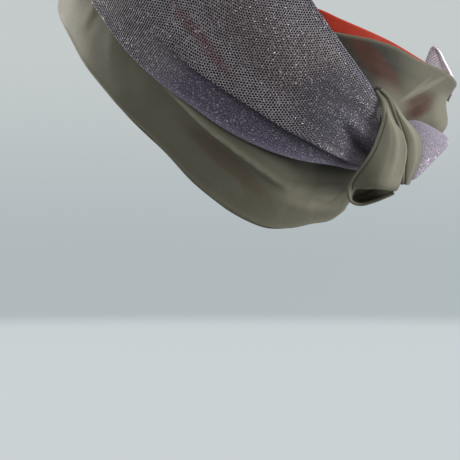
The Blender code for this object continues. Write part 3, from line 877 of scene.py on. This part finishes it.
class TURBAN_OT_net_panel(bpy.types.Operator):
    """Lay the glitter net over the brow, with its pleat and its folds into the knot"""

    bl_idname = "turban.net_panel"
    bl_label = "Net panel"

    def execute(self, context):
        sizes = context.scene.turban_sizes
        rows = NET_CORNER + [mirrored(row) for row in NET_SIDE[::-1]] + [NET_BROW] + NET_SIDE + NET_KNOT_END
        low, high = edges(rows)
        at = np.linspace(0, len(rows) - 1, NET_GRID[0])
        shape = through([(r.low_lift, r.high_lift, r.pleat_at, r.pleat_step, r.puff) for r in rows], at)
        low_lift, high_lift, pleat_at, step, puff = shape.T[:, :, None]
        start, end = unit(through(low, at)), unit(through(high, at))
        reach = MEAN_REACH * np.arccos(np.sum(start * end, axis=1))[:, None]
        overlap = PLEAT_OVERLAP / reach

        fold = np.array(PLEAT_FOLD)
        below, middle = PLEAT_BELOW, PLEAT_COLUMNS
        above = NET_GRID[1] - below - middle
        section = through(fold, np.linspace(0, len(fold) - 1, middle))
        first, last = pleat_at + section[0, 0] * overlap, pleat_at + section[-1, 0] * overlap
        lower = np.linspace(0, 1, below, endpoint=False) * first
        upper = last + (1 - last) * np.linspace(0, 1, above + 1)[1:]
        folded = np.concatenate([lower, pleat_at + section[:, 0] * overlap, upper], axis=1)
        climb = np.concatenate([np.zeros(below), section[:, 1], np.full(above, fold[-1, 1])])[None]
        plain = np.concatenate([lower, first + (last - first) * np.linspace(0, 1, middle), upper], axis=1)
        plain_climb = ease((plain - pleat_at) / PLEAT_RUN)
        share_of_fold = ease((step - 0.7) / 1.7)
        shares = plain * (1 - share_of_fold) + folded * share_of_fold
        climb = plain_climb * (1 - share_of_fold) + climb * share_of_fold

        rays = sheet_rays(low, high, at, shares)
        step_lift = step * climb * (1 - 0.75 * ease((shares - pleat_at) / 0.7))
        full = np.sin(math.pi * np.clip(shares, 0, 1) ** 0.8) ** 0.8
        lifts = low_lift + (high_lift - low_lift) * shares + step_lift + puff * full
        over = ease((np.arange(NET_GRID[1]) - below - middle / 2) / 8.0)
        lifts += crease_lift(rays, NET_CREASES) * over
        points = laid(rays, lifts, length=55.0, height=0.8, seed=8, share=ease(shares / 0.3))
        half = hem_half(points, sizes.net_half, 0.25, 0.0)

        run = arc(points, 1)
        turn = turn_of(rays)
        left = ease((turn - 104) / 26)
        crest = ease((np.arange(NET_GRID[1]) - below - middle * 0.35) / 8.0) * np.ones_like(run)
        corner = ease((CORNER_ROWS - at) / CORNER_FADE)[:, None]
        gathered = left * (rays[..., 1] > 0) * (rays[..., 0] > 0) * ease((0.85 - shares) / 0.4)
        strip = share_of_fold * (1 - crest)
        net = (1 - 0.8 * strip) * (1 - 0.85 * gathered) * (1 - corner)
        rim = np.maximum(bump_curve(run, 2.4), bump_curve(run[:, -1:] - run, 2.8))
        rim = np.maximum(rim * (1 - 0.4 * strip), 0.9 * corner * np.ones_like(run))
        ribbed = 0.85 * bump_curve(run - 12.0, 10.0) * bump_curve(turn - 46.0, 20.0)
        # Painted shade in the valley by the knot and under the pleat's overhang.
        valley = crease_lift(rays, [Crease(1.0, 2.6, 2.6, 1.6, NET_CREASES[0].path)])
        under = bump_curve(run - pleat_at * reach + 3.4, 3.4) * strip
        painted_shade = np.clip(0.75 * valley + 0.6 * under, 0, 0.9)
        fields = {
            "rim": rim,
            "net": net,
            # The strip below the pleat: violet, partly painted shade; the gathered net by the knot: painted
            # shade.
            "violet_and_shade": np.clip(strip + 0.8 * gathered, 0, 1),
            "ribbed": ribbed,
            "painted_shade": painted_shade,
            # pale paints light on the free corner, as if lit through from behind.
            "pale": 0.9 * corner * np.ones_like(run),
        }
        finishes = [finish_named("glitter_net"), finish_named("khaki_satin")]
        doubled = int(CORNER_ROWS / (len(rows) - 1) * NET_GRID[0])
        piece = cloth("panel_net", points, half, finishes, fields=fields, one_sided_from=doubled)
        dress(piece, ["lurex_panel"])
        return {"FINISHED"}


def wing_lifts(at, shares):
    """Lifts of the wing over the head form at these rows and shares down from its edge."""
    marks = through([(r.edge_lift, r.dip_lift, r.pleat_lift, r.low_lift) for r in WING], at)
    return np.array([smooth_value(share, WING_MARKS, mark) for share, mark in zip(shares, marks)])


class TURBAN_OT_wing(bpy.types.Operator):
    """Lay the satin strand round the back of the head, and the red lining inside it"""

    bl_idname = "turban.wing"
    bl_label = "Wing and lining"

    def execute(self, context):
        sizes = context.scene.turban_sizes
        low, high = edge(WING, "turn", "low_rise"), edge(WING, "turn", "edge_rise")
        at = np.linspace(0, len(WING) - 1, WING_GRID[0])
        shares = np.tile(np.linspace(0, 1, WING_GRID[1]) ** 1.15, (len(at), 1))
        rays = sheet_rays(high, low, at, shares)
        creases = [
            Crease(1, 1.4, 1, 1.4, [(141, -28.5), (147, -26), (152, -22.8), (157.5, -19.2), (165, -16)]),
            Crease(-0.8, 1.6, 1.8, 1.6, [(143, -30), (150, -27.5), (157, -24.5), (165, -22)]),
            Crease(0.6, 1.8, 1.4, 1.6, [(124, -8), (134, -10), (146, -13), (158, -15)]),
            Crease(-0.6, 1.4, 1.6, 1.6, [(122, -12), (132, -15), (143, -18)]),
            Crease(0.8, 1.6, 1.6, 1.6, [(168, -34), (178, -30), (190, -29)]),
            Crease(-0.8, 1.6, 1.6, 1.6, [(165, -30), (176, -26), (190, -25)]),
        ]
        lifts = wing_lifts(at, shares) + crease_lift(rays, creases) * ease(shares / 0.12)
        points = laid(rays, lifts, length=30.0, height=0.5, seed=5)
        half = hem_half(points, sizes.satin_half, 0.5 * sizes.hem_roll, 0.1)
        # rim paints a highlight along the wing's upper edge.
        fields = {"rim": bump_curve(arc(points, 1), 0.9)}
        finishes = [finish_named("khaki_satin"), finish_named("red_lining")]
        wing = cloth("wing_satin", points, half, finishes, fields=fields)
        dress(wing, ["back_wing"])

        at = np.linspace(0, len(WING) - 1, LINING_GRID[0])
        shares = np.tile(np.linspace(0, 1, LINING_GRID[1]), (len(at), 1))
        middle = high * (1 - LINING_SHARE) + low * LINING_SHARE
        rays = sheet_rays(edge(WING, "turn", "lining_rise"), middle, at, shares)
        lifts = wing_lifts(at, shares * LINING_SHARE) - LINING_GAP
        points = laid(rays, lifts, length=22.0, height=0.35, seed=6)
        half = hem_half(points, LINING_HALF, 0.15, 0.05)
        # rim paints a highlight along the lining's upper edge.
        fields = {"rim": bump_curve(arc(points, 1), 0.8)}
        lining = cloth("wing_red_lining", points, half, [finish_named("red_lining")], fields=fields)
        dress(lining, ["wing_lining"])
        return {"FINISHED"}


def strip_points(rows, grid):
    """Points of a strip that follows three rails, and its shares across, from 0 at the hem to 2."""
    at = np.linspace(0, len(rows) - 1, grid[0])
    rails = through(rows, at).reshape(-1, 3, 3).swapaxes(0, 1)
    shares = 2 * np.linspace(0, 1, grid[1]) ** 1.15
    return through(rails, shares).swapaxes(0, 1), at, shares


def draped(points, at, shares, drapes, facing):
    """The points of a strip with its drapes raised or sunk."""
    lift = np.zeros(points.shape[:2])
    for drape in drapes:
        middle = drape.share + drape.drift * (at - drape.first)
        run = np.clip((at - drape.first) / (drape.last - drape.first), 0, 1)
        taper = np.sin(math.pi * run)[:, None]
        lift += drape.height * taper * bump_curve(shares[None] - middle[:, None], drape.width)
    return points + grid_normals(points, False, facing) * lift[..., None]


class TURBAN_OT_knot(bpy.types.Operator):
    """Wrap the knot's two strips of satin, with a rolled hem and soft drapes"""

    bl_idname = "turban.knot"
    bl_label = "Knot"

    def execute(self, context):
        sizes = context.scene.turban_sizes
        outward = (1.0, 0.0, 0.0)
        strips = (
            ("knot_wrap", "wrap_satin", KNOT_WRAP, WRAP_GRID, WRAP_DRAPES, (0.105, 0.025)),
            ("knot_fold", "fold_satin", KNOT_FOLD, FOLD_GRID, FOLD_DRAPES, (0.047, 0.015)),
        )
        for node, name, rows, grid, drapes, flat in strips:
            points, at, shares = strip_points(rows, grid)
            points = draped(points, at, shares, drapes, outward)
            run = arc(points, 1)
            tuck = 0.25 * bump_curve(run - 0.7, 0.7) - 0.5 * bump_curve(run - 1.75, 0.42)
            points += grid_normals(points, False, outward) * tuck[..., None]
            half = hem_half(points, sizes.satin_half, 0.8 * sizes.hem_roll, 0.2, high=False)
            # rim paints a highlight on the rolled hem; groove paints shade in the groove beside it.
            fields = {"rim": bump_curve(run - 0.5, 0.7), "groove": bump_curve(run - 1.75, 0.36)}
            piece = cloth(name, points, half, [finish_named("khaki_satin")], facing=outward, fields=fields)
            dress(piece, [node])
        return {"FINISHED"}


class TURBAN_OT_tail(bpy.types.Operator):
    """Set the net's free end behind the knot"""

    bl_idname = "turban.tail"
    bl_label = "Net tail"

    def execute(self, context):
        at = np.linspace(0, len(NET_TAIL) - 1, TAIL_GRID[0])
        rows = through(NET_TAIL, at)
        shares = np.linspace(0, 1, TAIL_GRID[1])[None, :, None]
        bulge = np.array([1.0, 0.0, 0.0]) * rows[:, None, 6:7] * np.sin(math.pi * shares)
        points = rows[:, None, :3] * (1 - shares) + rows[:, None, 3:6] * shares + bulge
        points[..., 0] += waver(points, 14.0, 0.3, 12)
        half = TAIL_HALF + 0.1 * np.sin(math.pi * shares[..., 0]) * np.ones((len(at), 1))
        run = arc(points, 1)
        rim = 0.75 + 0.25 * np.maximum(bump_curve(run, 1.5), bump_curve(run[:, -1:] - run, 1.5))
        none = np.zeros(run.shape)
        piece = cloth(
            "tail_net", points, half, [finish_named("glitter_net")], facing=(1.0, 0.0, 0.0),
            fields={"rim": rim, "net": none, "violet_and_shade": none, "ribbed": none, "painted_shade": none, "pale": none},
        )
        dress(piece, ["lurex_tail"])
        return {"FINISHED"}


def glitter_nodes():
    """Flakes strewn over the outer side of a piece of net, each tilted its own way."""
    group = bpy.data.node_groups.new("glitter", "GeometryNodeTree")
    panel = group.interface
    panel.new_socket("Net", in_out="INPUT", socket_type="NodeSocketGeometry")
    for name in ("Density", "Size", "Tilt"):
        panel.new_socket(name, in_out="INPUT", socket_type="NodeSocketFloat")
    panel.new_socket("Seed", in_out="INPUT", socket_type="NodeSocketInt")
    panel.new_socket("Finish", in_out="INPUT", socket_type="NodeSocketMaterial")
    panel.new_socket("Flakes", in_out="OUTPUT", socket_type="NodeSocketGeometry")

    def add(kind, sockets, **settings):
        made = group.nodes.new(kind)
        for name, value in settings.items():
            setattr(made, name, value)
        for name, value in sockets.items():
            if isinstance(value, bpy.types.NodeSocket):
                group.links.new(value, made.inputs[name])
            else:
                made.inputs[name].default_value = value
        return made.outputs

    given = add("NodeGroupInput", {})
    outer = add("GeometryNodeInputNamedAttribute", {"Name": "outer"}, data_type="FLOAT")["Attribute"]
    density = add("ShaderNodeMath", {0: given["Density"], 1: outer}, operation="MULTIPLY")[0]
    strewn = add(
        "GeometryNodeDistributePointsOnFaces",
        {"Mesh": given["Net"], "Density": density, "Seed": given["Seed"]},
        distribute_method="RANDOM",
    )
    lift = add("ShaderNodeVectorMath", {0: strewn["Normal"], "Scale": 0.00006}, operation="SCALE")[0]
    raised = add("GeometryNodeSetPosition", {"Geometry": strewn["Points"], "Offset": lift})["Geometry"]
    flake = add("GeometryNodeMeshCircle", {"Vertices": 6, "Radius": given["Size"]}, fill_type="NGON")["Mesh"]
    down = add("ShaderNodeMath", {0: given["Tilt"], 1: -1.0}, operation="MULTIPLY")[0]
    least = add("ShaderNodeCombineXYZ", {"X": down, "Y": down, "Z": 0.0})[0]
    most = add("ShaderNodeCombineXYZ", {"X": given["Tilt"], "Y": given["Tilt"], "Z": 6.28})[0]
    leaning = {0: least, 1: most, "Seed": given["Seed"]}
    lean = add("FunctionNodeRandomValue", leaning, data_type="FLOAT_VECTOR")[0]
    turning = {"Rotation": strewn["Rotation"], "Rotate By": lean}
    turned = add("FunctionNodeRotateRotation", turning, rotation_space="LOCAL")[0]
    scale = add("FunctionNodeRandomValue", {2: 0.6, 3: 1.25, "Seed": given["Seed"]}, data_type="FLOAT")[1]
    strewing = {"Points": raised, "Instance": flake, "Rotation": turned, "Scale": scale}
    placed = add("GeometryNodeInstanceOnPoints", strewing)["Instances"]
    real = add("GeometryNodeRealizeInstances", {"Geometry": placed})["Geometry"]
    dressed = add("GeometryNodeSetMaterial", {"Geometry": real, "Material": given["Finish"]})["Geometry"]
    add("NodeGroupOutput", {"Flakes": dressed})
    return group


class TURBAN_OT_glitter(bpy.types.Operator):
    """Strew glitter flakes over the net panel and its tail"""

    bl_idname = "turban.glitter"
    bl_label = "Glitter"

    def execute(self, context):
        sizes = context.scene.turban_sizes
        group = glitter_nodes()
        for name, seed, share in (("panel_net", 4, 1.0), ("tail_net", 9, 2.0)):
            holder = new_object("holder", bpy.data.objects[name].data.copy())
            strew = holder.modifiers.new("Glitter", "NODES")
            strew.node_group = group
            values = {
                "Density": sizes.flake_density * share,
                "Size": sizes.flake_size,
                "Tilt": 0.9,
                "Seed": seed,
                "Finish": finish_named("flakes"),
            }
            for item in group.interface.items_tree:
                if item.name in values:
                    strew[item.identifier] = values[item.name]
            depsgraph = context.evaluated_depsgraph_get()
            mesh = bpy.data.meshes.new_from_object(holder.evaluated_get(depsgraph), depsgraph=depsgraph)
            bpy.data.objects.remove(holder)
            piece = new_object(name.replace("net", "glitter"), mesh)
            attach(piece, "root")
            print(piece.name, len(mesh.polygons), "flakes")
        return {"FINISHED"}


# Metres, and the lens in millimetres. The camera looks along -X.
STAGE_FLOOR = -0.25
CAMERA_PLACE = (0.9, -0.0088, -0.1196)
CAMERA_LENS = 135.45
LIGHT_TARGET = (0.0, 0.0, -0.05)
CORNER_TARGET = (-0.014, 0.101, -0.028)


def aimed(holder, place, target):
    """Puts a light at its place, and turns it to its target."""
    holder.location = place
    holder.rotation_euler = (Vector(target) - Vector(place)).to_track_quat("-Z", "Y").to_euler()


class TURBAN_OT_stage(bpy.types.Operator):
    """Set the pale round sweep, the lights and the camera"""

    bl_idname = "turban.stage"
    bl_label = "Stage"

    def execute(self, context):
        # The sweep: distance from the middle and height of each ring, in metres.
        rings = [(0.0, 0.0), (0.5, 0.0), (1.0, 0.0), (1.3, 0.0), (1.36, 0.004), (1.40, 0.02), (1.43, 0.06)]
        rings += [(1.45, 0.15), (1.46, 0.5), (1.46, 1.2), (1.46, 2.2)]
        sides = 96
        rim = [(math.cos(2 * math.pi * k / sides), math.sin(2 * math.pi * k / sides)) for k in range(sides)]
        spots = [(0.0, 0.0, STAGE_FLOOR)]
        spots += [(x * far, y * far, STAGE_FLOOR + up) for far, up in rings[1:] for x, y in rim]
        faces = [(0, 1 + k, 1 + (k + 1) % sides) for k in range(sides)]
        for ring in range(len(rings) - 2):
            start = 1 + ring * sides
            for k in range(sides):
                beside = (k + 1) % sides
                faces.append((start + k, start + sides + k, start + sides + beside, start + beside))
        mesh = bpy.data.meshes.new("sweep")
        mesh.from_pydata(spots, [], faces)
        mesh.shade_smooth()
        walls = (0.42, 0.475, 0.495, 1.0), (0.54, 0.58, 0.58, 1.0)
        mesh.materials.append(stage_finish((0.57, 0.62, 0.64, 1.0), *walls))
        sweep = new_object("sweep", mesh)
        sweep.visible_diffuse = False
        sweep.visible_glossy = False
        sweep.visible_shadow = False

        world = bpy.data.worlds.new("studio")
        context.scene.world = world
        world.use_nodes = True
        tree = world.node_tree
        sky = tree.nodes["Background"]
        heading = tree.nodes.new("ShaderNodeTexCoord").outputs["Generated"]
        parts = tree.nodes.new("ShaderNodeSeparateXYZ")
        tree.links.new(heading, parts.inputs[0])
        # Light from each side: the axis, its two ends and the strengths there.
        total = None
        for axis, low, high in (("X", 0.20, 0.0), ("Y", 0.15, 0.15), ("Z", 0.03, 0.24)):
            reach = tree.nodes.new("ShaderNodeMapRange")
            tree.links.new(parts.outputs[axis], reach.inputs["Value"])
            reach.inputs["From Min"].default_value = -1.0
            reach.inputs["To Min"].default_value = low
            reach.inputs["To Max"].default_value = high
            if total is None:
                total = reach.outputs[0]
            else:
                both = tree.nodes.new("ShaderNodeMath")
                tree.links.new(total, both.inputs[0])
                tree.links.new(reach.outputs[0], both.inputs[1])
                total = both.outputs[0]
        tree.links.new(total, sky.inputs["Strength"])
        sky.inputs["Color"].default_value = (0.96, 0.99, 1.0, 1.0)

        # Soft lights: name, place, size, power and colour.
        lights = [
            ("left_light", (-0.62, -0.98, 0.22), 0.8, 9.4, (1.0, 0.96, 0.87)),
            ("back_light", (0.15, 1.02, -0.22), 0.5, 4.5, (1.0, 0.99, 0.96)),
            ("top_light", (0.05, 0.1, 1.25), 0.7, 8.0, (1.0, 0.99, 0.97)),
        ]
        glow = bpy.data.lights.new("corner_light", "SPOT")
        glow.energy = 40.0
        glow.spot_size = math.radians(2.8)
        glow.spot_blend = 0.6
        glow.shadow_soft_size = 0.01
        aimed(new_object("corner_light", glow), (0.62, 0.28, 0.12), CORNER_TARGET)
        for name, place, size, power, colour in lights:
            lamp = bpy.data.lights.new(name, "AREA")
            lamp.shape = "DISK"
            lamp.size = size
            lamp.energy = power
            lamp.color = colour
            holder = new_object(name, lamp)
            aimed(holder, place, LIGHT_TARGET)
            holder.visible_camera = False

        lens = bpy.data.cameras.new("camera")
        lens.sensor_width = 36.0
        lens.lens = CAMERA_LENS
        camera = new_object("camera", lens)
        camera.location = CAMERA_PLACE
        camera.rotation_euler = (math.radians(90), 0.0, math.radians(90))
        context.scene.camera = camera
        context.scene.view_settings.view_transform = "Standard"
        return {"FINISHED"}


class TURBAN_PT_panel(bpy.types.Panel):
    bl_label = "Turban"
    bl_idname = "TURBAN_PT_panel"
    bl_space_type = "VIEW_3D"
    bl_region_type = "UI"
    bl_category = "Turban"

    def draw(self, context):
        for group in (context.scene.turban_sizes, context.scene.turban_colours):
            for name in group.bl_rna.properties.keys():
                if name not in ("rna_type", "name"):
                    self.layout.prop(group, name)
        for piece in PIECES:
            self.layout.operator(piece.bl_idname)


PIECES = [
    TURBAN_OT_finishes,
    TURBAN_OT_satin_band,
    TURBAN_OT_net_panel,
    TURBAN_OT_wing,
    TURBAN_OT_knot,
    TURBAN_OT_tail,
    TURBAN_OT_glitter,
    TURBAN_OT_stage,
]
CLASSES = [TurbanSizes, TurbanColours, *PIECES, TURBAN_PT_panel]


def register():
    for each in CLASSES:
        bpy.utils.register_class(each)
    bpy.types.Scene.turban_sizes = bpy.props.PointerProperty(type=TurbanSizes)
    bpy.types.Scene.turban_colours = bpy.props.PointerProperty(type=TurbanColours)


def unregister():
    del bpy.types.Scene.turban_colours
    del bpy.types.Scene.turban_sizes
    for each in reversed(CLASSES):
        bpy.utils.unregister_class(each)


def main():
    register()
    bpy.ops.turban.finishes()
    bpy.ops.turban.satin_band()
    bpy.ops.turban.net_panel()
    bpy.ops.turban.wing()
    bpy.ops.turban.knot()
    bpy.ops.turban.tail()
    bpy.ops.turban.glitter()
    bpy.ops.turban.stage()


if __name__ == "__main__":
    main()
